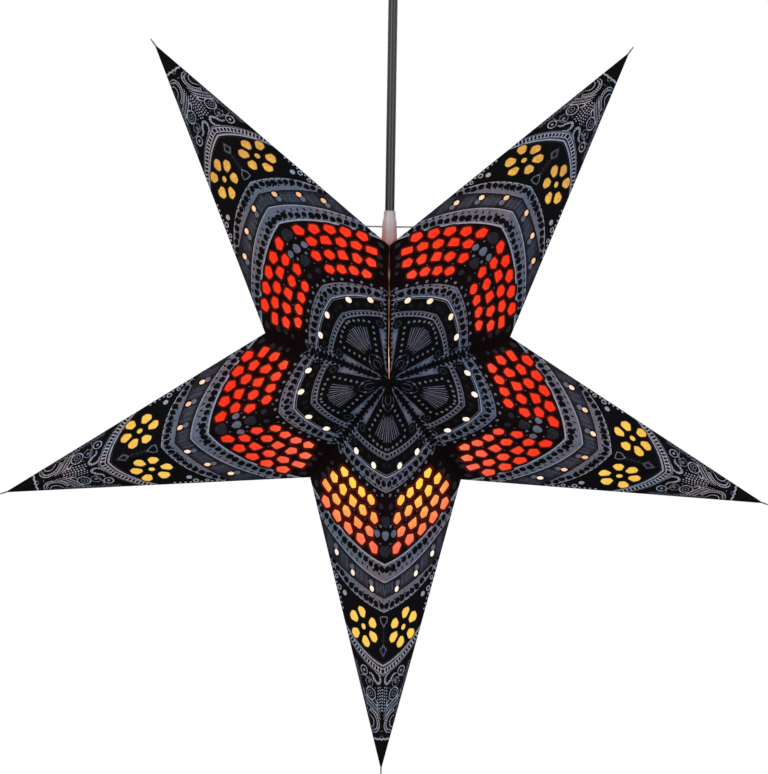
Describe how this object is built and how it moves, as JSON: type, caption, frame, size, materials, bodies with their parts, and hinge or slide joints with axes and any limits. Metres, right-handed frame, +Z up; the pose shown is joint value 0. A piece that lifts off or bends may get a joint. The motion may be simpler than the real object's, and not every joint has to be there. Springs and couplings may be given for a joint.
{
  "type": "hanging paper star lantern",
  "caption": "Hanging five-pointed folded paper star lantern with printed bands, cut-out windows backed with coloured tissue, a lamp holder and bulb inside, a straight cord and a ceiling rose.",
  "frame": {"origin": "centre of the ceiling rose's flat upper face, which lies against the ceiling", "axes": "+Z up, square to the ceiling and along the cord; -Y towards the star's front; +X to its right as seen from the front"},
  "size_m": [0.6108, 0.18, 0.671],
  "materials": {
    "printed_paper": "matte, printed",
    "yellow_tissue": "translucent",
    "red_tissue": "translucent",
    "white_tissue": "translucent",
    "cap_plastic": "translucent, smooth",
    "holder_plastic": "moulded",
    "shell_brass": "stamped",
    "bulb_glass": "opal",
    "cord_plastic": "gloss",
    "string": "twisted",
    "rose_plastic": "moulded",
    "plate_steel": "zinc plated",
    "block_plastic": "moulded",
    "grip_plastic": "moulded"
  },
  "bodies": {
    "root": {"arm_top_left": "printed_paper", "yellow_paper_top_left": "yellow_tissue", "white_paper_outer_top_left": "white_tissue", "red_paper_top_left": "red_tissue", "white_paper_front_top_left": "white_tissue", "white_paper_back_top_left": "white_tissue", "arm_top_right": "printed_paper", "yellow_paper_top_right": "yellow_tissue", "white_paper_outer_top_right": "white_tissue", "red_paper_top_right": "red_tissue", "white_paper_front_top_right": "white_tissue", "white_paper_back_top_right": "white_tissue", "arm_right": "printed_paper", "yellow_paper_right": "yellow_tissue", "white_paper_outer_right": "white_tissue", "red_paper_right": "red_tissue", "white_paper_front_right": "white_tissue", "white_paper_back_right": "white_tissue", "arm_bottom": "printed_paper", "yellow_paper_bottom": "yellow_tissue", "white_paper_outer_bottom": "white_tissue", "red_paper_bottom": "red_tissue", "white_paper_front_bottom": "white_tissue", "white_paper_back_bottom": "white_tissue", "arm_left": "printed_paper", "yellow_paper_left": "yellow_tissue", "white_paper_outer_left": "white_tissue", "red_paper_left": "red_tissue", "white_paper_front_left": "white_tissue", "white_paper_back_left": "white_tissue", "holder_cap": "cap_plastic", "holder_body": "holder_plastic", "screw_shell": "shell_brass", "bulb": "bulb_glass", "power_cord": "cord_plastic", "tie_string": "string", "ceiling_rose": "rose_plastic", "ceiling_plate": "plate_steel", "terminal_block": "block_plastic", "cord_grip": "grip_plastic"}
  },
  "joints": []
}
